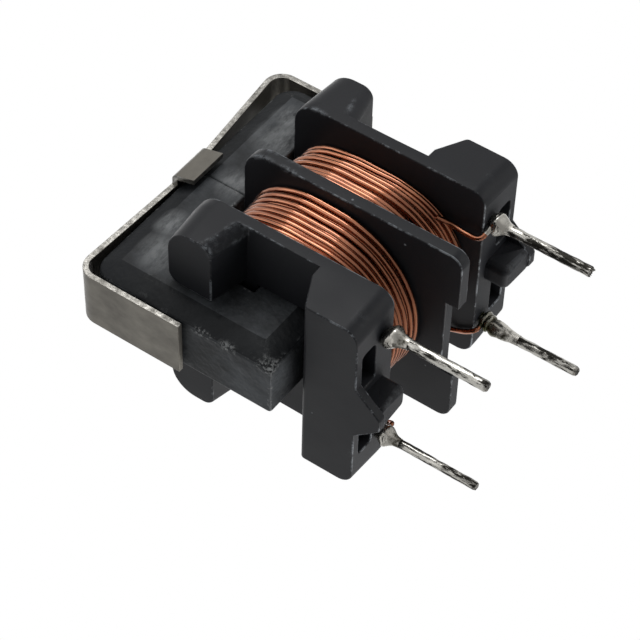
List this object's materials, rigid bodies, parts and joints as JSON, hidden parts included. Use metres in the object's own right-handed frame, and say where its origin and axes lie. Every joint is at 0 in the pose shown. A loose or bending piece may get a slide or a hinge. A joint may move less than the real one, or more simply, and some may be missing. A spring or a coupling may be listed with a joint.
{
  "type": "common-mode choke",
  "caption": "Board-mounted common-mode choke: two copper windings on a flanged black bobbin, closed by a clipped ferrite U core pair, with straight pins.",
  "frame": {"origin": "centre of the four-pin pattern, on the plane where the bobbin's standoffs meet the circuit board", "axes": "+X along the winding axis, +Z away from the board, pins point along -Z"},
  "size_m": [0.0245, 0.0164, 0.0305],
  "materials": {
    "bobbin": "moulded black phenolic, satin, lightly scuffed",
    "ferrite": "pressed and sintered ferrite, dark grey, dry matt, with lighter chipped edges",
    "copper": "enamelled copper wire, clear varnish over orange-brown copper",
    "spring_steel": "plain rolled spring steel, warm grey, bright sheared edges",
    "tinned_pin": "tinned copper-clad steel, dull bright with dark streaks",
    "solder": "hand-dipped solder, lumpy, bright with grey flux stains"
  },
  "bodies": {
    "root": {"bobbin": "bobbin", "core_half_near": "ferrite", "core_half_far": "ferrite", "winding_near": "copper", "winding_far": "copper", "core_clip": "spring_steel", "terminal_pin_1": "tinned_pin", "solder_joint_1": "solder", "terminal_pin_2": "tinned_pin", "solder_joint_2": "solder", "terminal_pin_3": "tinned_pin", "solder_joint_3": "solder", "terminal_pin_4": "tinned_pin", "solder_joint_4": "solder"}
  },
  "joints": []
}
